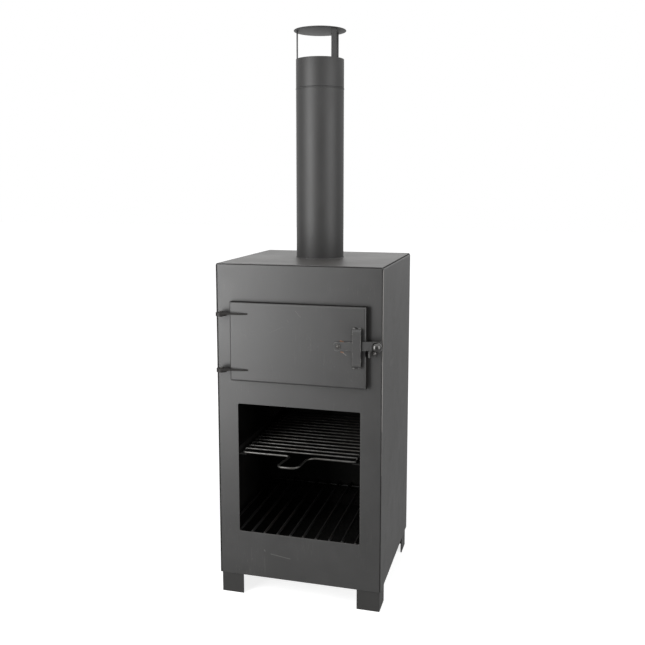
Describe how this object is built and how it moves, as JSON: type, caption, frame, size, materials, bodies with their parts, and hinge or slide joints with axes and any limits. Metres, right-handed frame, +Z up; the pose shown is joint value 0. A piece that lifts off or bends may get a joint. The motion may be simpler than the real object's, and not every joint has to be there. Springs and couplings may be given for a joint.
{
  "type": "chimenea with pizza oven",
  "caption": "Free-standing sheet-steel chimenea: an open fire box with a slide-out cooking grate, a pizza oven behind a hinged door, and a capped flue pipe on top.",
  "frame": {"origin": "middle of the outline seen from above, on the ground", "axes": "+Z up, +X to the right seen from the front, -Y out of the fire opening and the oven door"},
  "size_m": [0.4042, 0.4486, 1.3683],
  "materials": {
    "side_paint": "satin",
    "front_paint": "satin",
    "inner_steel": "matte",
    "rod_steel": "satin",
    "fastener_steel": "satin",
    "knob": "gloss",
    "baking_stone": "matte"
  },
  "bodies": {
    "body": {"body_wrap": "side_paint", "front_panel": "front_paint", "back_panel": "front_paint", "bottom_plate": "inner_steel", "leg_front_left": "front_paint", "leg_front_right": "front_paint", "leg_rear_left": "front_paint", "leg_rear_right": "front_paint", "oven_floor": "inner_steel", "oven_floor_ledge_left": "inner_steel", "oven_floor_ledge_right": "inner_steel", "pizza_stone": "baking_stone", "grate_runner_left": "inner_steel", "grate_runner_right": "inner_steel", "fire_grate_bars": "inner_steel", "fire_grate_cross_bars": "inner_steel", "fire_grate_ledge_front": "inner_steel", "fire_grate_ledge_rear": "inner_steel", "flue_spigot": "inner_steel", "chimney_pipe": "front_paint", "hinge_body_tab_upper": "front_paint", "hinge_body_tab_lower": "front_paint", "hinge_pins": "fastener_steel", "latch_catch": "front_paint", "catch_screw": "fastener_steel", "catch_nut": "fastener_steel"},
    "door": {"door_panel": "front_paint", "hinge_door_tab_upper": "front_paint", "hinge_door_tab_lower": "front_paint", "latch_guide": "front_paint", "latch_pivot_bolt": "fastener_steel", "latch_pivot_washer": "fastener_steel", "latch_pivot_nut": "fastener_steel"},
    "latch": {"latch_bar": "front_paint", "latch_knob": "knob"},
    "cooking_grate": {"cooking_grate_frame": "rod_steel", "cooking_grate_wires": "rod_steel"},
    "cowl": {"cowl_collar": "front_paint", "cowl_struts": "front_paint", "cowl_disc": "front_paint"}
  },
  "joints": [
    {"name": "door_hinge", "type": "hinge", "parent": "body", "child": "door", "pos_m": [-0.18357, -0.16875, 0.6318], "axis": [0, 0, -1], "range_deg": [0, 180]},
    {"name": "latch_pivot", "type": "hinge", "parent": "door", "child": "latch", "pos_m": [0.09943, -0.17005, 0.6355], "axis": [0, -1, 0], "range_deg": [-3.5, 22]},
    {"name": "grate_slide", "type": "slide", "parent": "body", "child": "cooking_grate", "axis": [0, -1, 0], "range_m": [0, 0.3]},
    {"name": "cowl_lift", "type": "slide", "parent": "body", "child": "cowl", "axis": [0, 0, 1], "range_m": [0, 0.04]}
  ]
}
